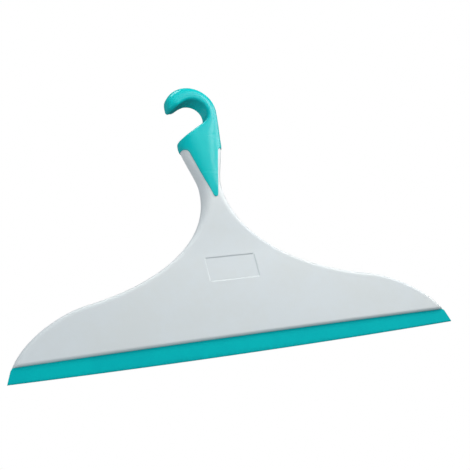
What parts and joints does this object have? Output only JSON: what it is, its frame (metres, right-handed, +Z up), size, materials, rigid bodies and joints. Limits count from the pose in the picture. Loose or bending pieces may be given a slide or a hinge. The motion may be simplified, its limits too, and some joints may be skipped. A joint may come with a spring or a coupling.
{
  "type": "window cleaning squeegee",
  "caption": "Fan-shaped window squeegee with a round neck, a hook handle that hangs on a peg or rail, and a flexing rubber wiper lip along its wide lower edge.",
  "frame": {"origin": "top of the hook's throat, where a peg or rail touches it, half way through the hook's depth", "axes": "+Z up, +X along the wiper lip to the right as seen from the front, +Y from the front panel towards the rear cover"},
  "size_m": [0.3, 0.0142, 0.1871],
  "materials": {
    "white_plastic": "satin moulded white",
    "white_cover_plastic": "fine matte white",
    "turquoise_grip": "soft gloss turquoise",
    "turquoise_rubber": "matte turquoise rubber"
  },
  "bodies": {
    "handle_body": {"holder": "white_plastic", "rear_cover": "white_cover_plastic", "hook_grip": "turquoise_grip", "lip_root": "turquoise_rubber"},
    "lip_body": {"wiper_lip": "turquoise_rubber"}
  },
  "joints": [
    {"name": "lip_flex", "type": "hinge", "parent": "handle_body", "child": "lip_body", "pos_m": [0, 0, -0.1675], "axis": [1, 0, 0], "range_deg": [-40, 40], "stiffness_Nm_per_rad": 0.03}
  ]
}
